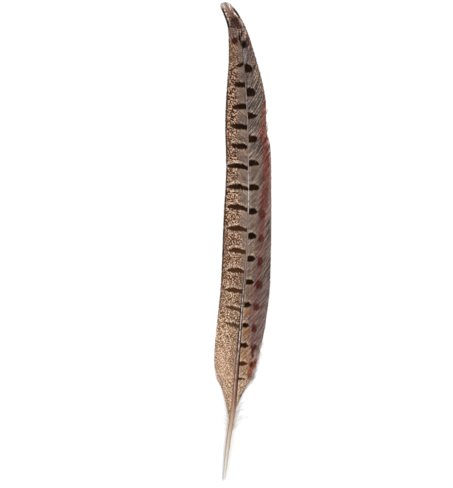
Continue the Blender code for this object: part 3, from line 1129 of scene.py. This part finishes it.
def shaft():
    """The shaft and the bare quill: a tapering tube with a groove below and a hole in the quill's end."""
    tip = SHAFT_ACROSS[-1][0]
    sides = SHAFT_SIDES
    along = np.concatenate([np.linspace(0, 10, 9)[:-1], np.linspace(10, tip, 150)])
    centre = np.stack([smooth(SHAFT_ACROSS, along), along, shaft_height(along)], axis=1)
    ahead, sideways = directions(np.gradient(centre, along, axis=0))
    upwards = np.cross(sideways, ahead)
    turn = (np.arange(sides) + 0.5) * 2 * np.pi / sides
    half_width = smooth(SHAFT_HALF_WIDTH, along)[:, None]
    half_depth = smooth(SHAFT_HALF_DEPTH, along)[:, None]
    below = np.clip(-np.sin(turn), 0, 1) ** GROOVE_NARROWNESS
    groove = 1 - GROOVE_DEPTH * ramp(along, *GROOVE_FROM)[:, None] * below
    width = half_width * np.cos(turn)
    depth = half_depth * np.sin(turn) * groove
    rings = centre[:, None] + width[..., None] * sideways[:, None] + depth[..., None] * upwards[:, None]
    hole = centre[:1, None] + HOLE_WIDTH * (rings[:1] - centre[:1, None])
    inside = hole + np.array([0, HOLE_DEPTH, 0])
    rings = np.concatenate([inside, hole, rings])
    stations = len(rings)
    walls = tube_faces(1, stations, sides).reshape(-1, 4)[:, ::-1]
    strip = np.arange(sides // 2 - 1)
    start_cap = np.stack([strip, strip + 1, sides - 2 - strip, sides - 1 - strip], axis=1)
    end_cap = (start_cap + (stations - 1) * sides)[:, ::-1]
    faces = np.concatenate([walls, start_cap, end_cap])
    piece = new_mesh("shaft", rings, faces, shaft_map(stations, sides, len(start_cap)))
    place = np.concatenate([[0, 0], along])[:, None]
    store(piece, "on_shaft", rings.shape[:2], place, np.cos(turn), np.sin(turn))
    piece.data.materials.append(shaft_finish())


def shaft_map(stations, sides, strips):
    """Lays the shaft's wall open over the map, with the strips of its two ends beside it."""
    around = 0.98 * np.stack([np.arange(sides)] * 2 + [np.arange(sides) + 1] * 2, axis=-1)[None] / sides
    step = wall_steps(np.arange(stations) / (stations - 1))[:, None]
    wall = np.stack(np.broadcast_arrays(around, step), axis=-1).reshape(-1, 4, 2)[:, ::-1]
    square = np.array([(0.985, 0), (0.995, 0), (0.995, 0.01), (0.985, 0.01)])
    ends = square + np.stack([np.zeros(2 * strips), np.arange(2 * strips) * 0.02], axis=-1)[:, None]
    return np.concatenate([wall, ends])


def shaft_finish():
    """Glossy brown horn that pales to cream along the bare quill, darker where the barbs leave it and with
    painted shade on its sides, and a painted highlight along its top.
    """
    material, tree, output = new_material("shaft horn")
    along, over, up = read(tree, "on_shaft")
    steps = add(tree, "ShaderNodeValToRGB", enumerate([calculate("DIVIDE", along, FEATHER_LENGTH)]))
    for place, colour in SHAFT_TONES[1:-1]:
        steps.color_ramp.elements.new(place / FEATHER_LENGTH)
    for element, (place, shown) in zip(steps.color_ramp.elements, SHAFT_TONES):
        element.position = place / FEATHER_LENGTH
        element.color = seen(*shown)
    uneven = noise(point(over * 0.6, along * 0.35), 1.0)
    flank = rise(uneven * 0.35 + abs(over), 0.5, 0.82)
    barbed = rise(along, 34, 60) * rise(along, 120, 100, 0.15, 1.0)
    low = rise(along, 70, 60)
    right_half = rise(over, -0.25, 0.2) * low * rise(along, 32, 44) * 0.65
    colour = blend(right_half, Value(steps.outputs[0]), HORN_DARK)
    # Dark edges: partly the darker horn where the barbs leave the shaft, partly painted shade on the tube's
    # sides
    edge = flank * barbed * calculate("MAXIMUM", rise(over, -0.2, 0.2), rise(low, 1.0, 0.0, 0.25))
    colour = blend(edge, colour, HORN_EDGE_AND_SHADE)
    colour = blend(flank * rise(along, 40, 28, 0.0, 0.35), colour, BUFF)
    scratched = noise(point(over * 2.2, along * 0.8), 1.6)
    # Painted highlight: a pale broken line along the top of the shaft, bent a little leftward low down,
    # standing in for the gloss of a lamp
    broken = noise(point(0.0, along * 0.45), 1.0, detail=2.0)
    bent = noise(point(3.0, along * 0.7), 1.0) - 0.4
    leftward = low * 0.3 + bent
    off_highlight = abs(over + leftward)
    painted_highlight = rise(off_highlight, rise(along, 112, 136, 0.45, 1.1), rise(along, 112, 136, 0.08, 0.3))
    painted_highlight = painted_highlight * up * rise(broken, 0.38, rise(along, 112, 136, 0.58, 0.5))
    low_highlight = rise(along, 40, 50) * rise(along, 60, 70, 0.4, 1.0) * rise(along, 112, 92)
    high_highlight = rise(along, 137, 143) * rise(along, 164, 156, 0.4, 1.0)
    painted_highlight = painted_highlight * (low_highlight + high_highlight * rise(along, 214, 200))
    colour = blend(calculate("MULTIPLY", painted_highlight, 0.9, clamp=True), colour, HORN_PAINTED_HIGHLIGHT)
    gloss = rise(flank, 0.0, 0.6, 1.0, 0.0) * rise(along, 46, 68, 1.0, 0.2)
    principled(
        tree, output, colour, rise(scratched, 0.35, 0.65, 0.4, 0.6), Specular_IOR_Level=0.08,
        Coat_Weight=gloss, Coat_Roughness=0.1, Normal=bumps(scratched, 0.3, 0.00006),
    )
    return material


def table():
    """A plain white table top."""
    half = TABLE_HALF * MM
    corners = [(-half, -half, 0), (half, -half, 0), (half, half, 0), (-half, half, 0)]
    mesh = bpy.data.meshes.new("table")
    mesh.from_pydata(corners, [], [(0, 1, 2, 3)])
    top = new_object("table", mesh)
    material, tree, output = new_material("white table")
    principled(tree, output, TABLE_WHITE, 0.9, Specular_IOR_Level=0.1)
    mesh.materials.append(material)


def stand(name, light, place):
    """Stands a lamp at a place in metres and turns it towards the middle of the frame."""
    lamp = new_object(name, light)
    lamp.location = place
    lamp.rotation_euler = (-Vector(place)).to_track_quat("-Z", "Y").to_euler()


def far_light(name, place, strength, softness):
    """A large softbox, far enough away to light the whole table evenly. Softness is its width as an angle."""
    light = bpy.data.lights.new(name, "SUN")
    light.energy = strength
    light.angle = radians(softness)
    stand(name, light, place)


def studio():
    """Soft light from the upper right, a weaker one from the left, and a long lamp high above the shaft."""
    scene = bpy.context.scene
    scene.view_settings.view_transform = "Standard"
    world = bpy.data.worlds.new("studio")
    world.use_nodes = True
    tree = world.node_tree
    tree.nodes.clear()
    seen_directly = Value(add(tree, "ShaderNodeLightPath").outputs["Is Camera Ray"])
    lighting, in_view = 0.22, 1.0
    backgrounds = [
        Value(add(tree, "ShaderNodeBackground", {"Color": (1, 1, 1, 1), "Strength": strength}).outputs[0])
        for strength in (lighting, in_view)
    ]
    either = worked_out("ShaderNodeMixShader", enumerate((seen_directly, *backgrounds)))
    add(tree, "ShaderNodeOutputWorld", {"Surface": either})
    scene.world = world
    far_light("key light", (0.6, 0.75, 0.9), strength=2.0, softness=24)
    far_light("fill light", (-0.9, 0.1, 0.8), strength=0.95, softness=40)
    light = bpy.data.lights.new("top light", "AREA")
    light.shape = "RECTANGLE"
    light.size = 0.22
    light.size_y = 0.6
    light.energy = 3.2
    stand("top light", light, (-0.06, 0.0, 1.0))


def camera():
    """Straight above the feather, as the photograph was taken."""
    mm_per_pixel = 0.5252
    centre_pixel = (226.5, 244)
    quill_pixel = (224, 479.5)
    picture_height = 488 * mm_per_pixel
    lens = 100
    sensor = 36
    lens_data = bpy.data.cameras.new("camera")
    lens_data.lens = lens
    lens_data.sensor_width = sensor
    lens_data.clip_end = 20
    seen_from = new_object("camera", lens_data)
    across = ORIGIN[0] + (centre_pixel[0] - quill_pixel[0]) * mm_per_pixel
    along = ORIGIN[1] + (quill_pixel[1] - centre_pixel[1]) * mm_per_pixel
    seen_from.location = (across * MM, along * MM, (picture_height * lens / sensor + 1.5) * MM)
    bpy.context.scene.camera = seen_from


camera()
studio()
table()
vane(LEFT, "left_vane")
vane(RIGHT, "right_vane")
shaft()
hairs("down")
